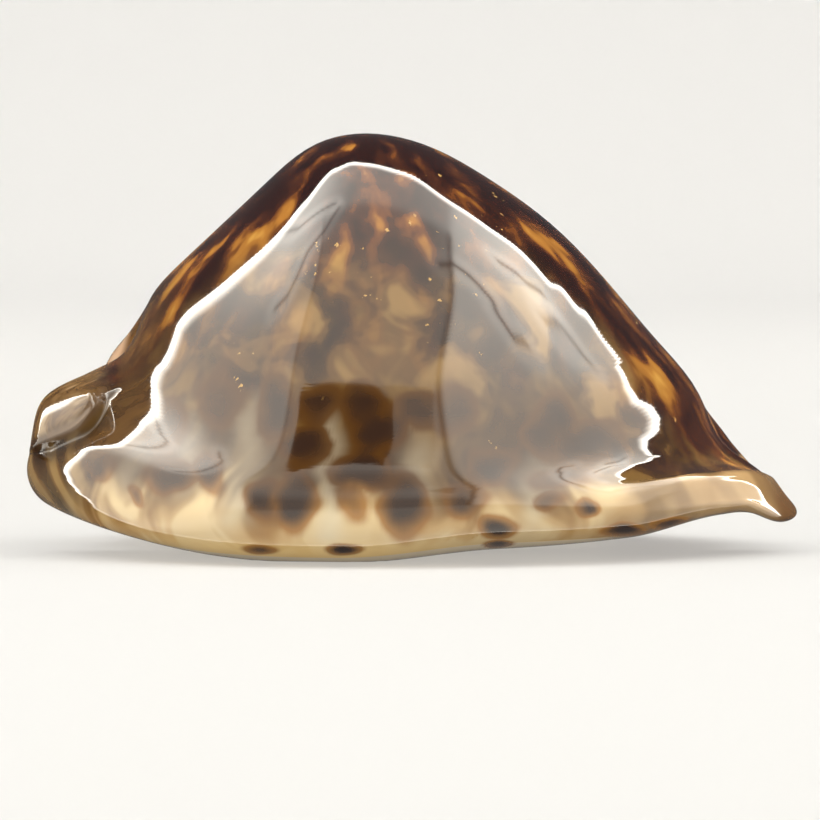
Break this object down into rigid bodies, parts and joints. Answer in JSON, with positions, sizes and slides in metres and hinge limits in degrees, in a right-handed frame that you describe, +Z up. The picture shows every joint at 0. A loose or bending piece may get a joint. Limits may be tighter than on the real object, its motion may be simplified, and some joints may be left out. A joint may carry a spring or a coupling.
{
  "type": "cowrie shell",
  "caption": "Glossy humped cowrie shell with thick spotted margins, a beak at each end, a toothed slit underneath and a hollow inside",
  "frame": {"origin": "on the ground, below the middle of the shell's box", "axes": "+X points to the front beak along the slit, +Y to the columella side, away from the outer lip, and +Z up through the hump; the shell rests on its base"},
  "size_m": [0.0598, 0.0394, 0.0323],
  "materials": {
    "shell": "gloss"
  },
  "bodies": {
    "root": {"shell": "shell"}
  },
  "joints": []
}
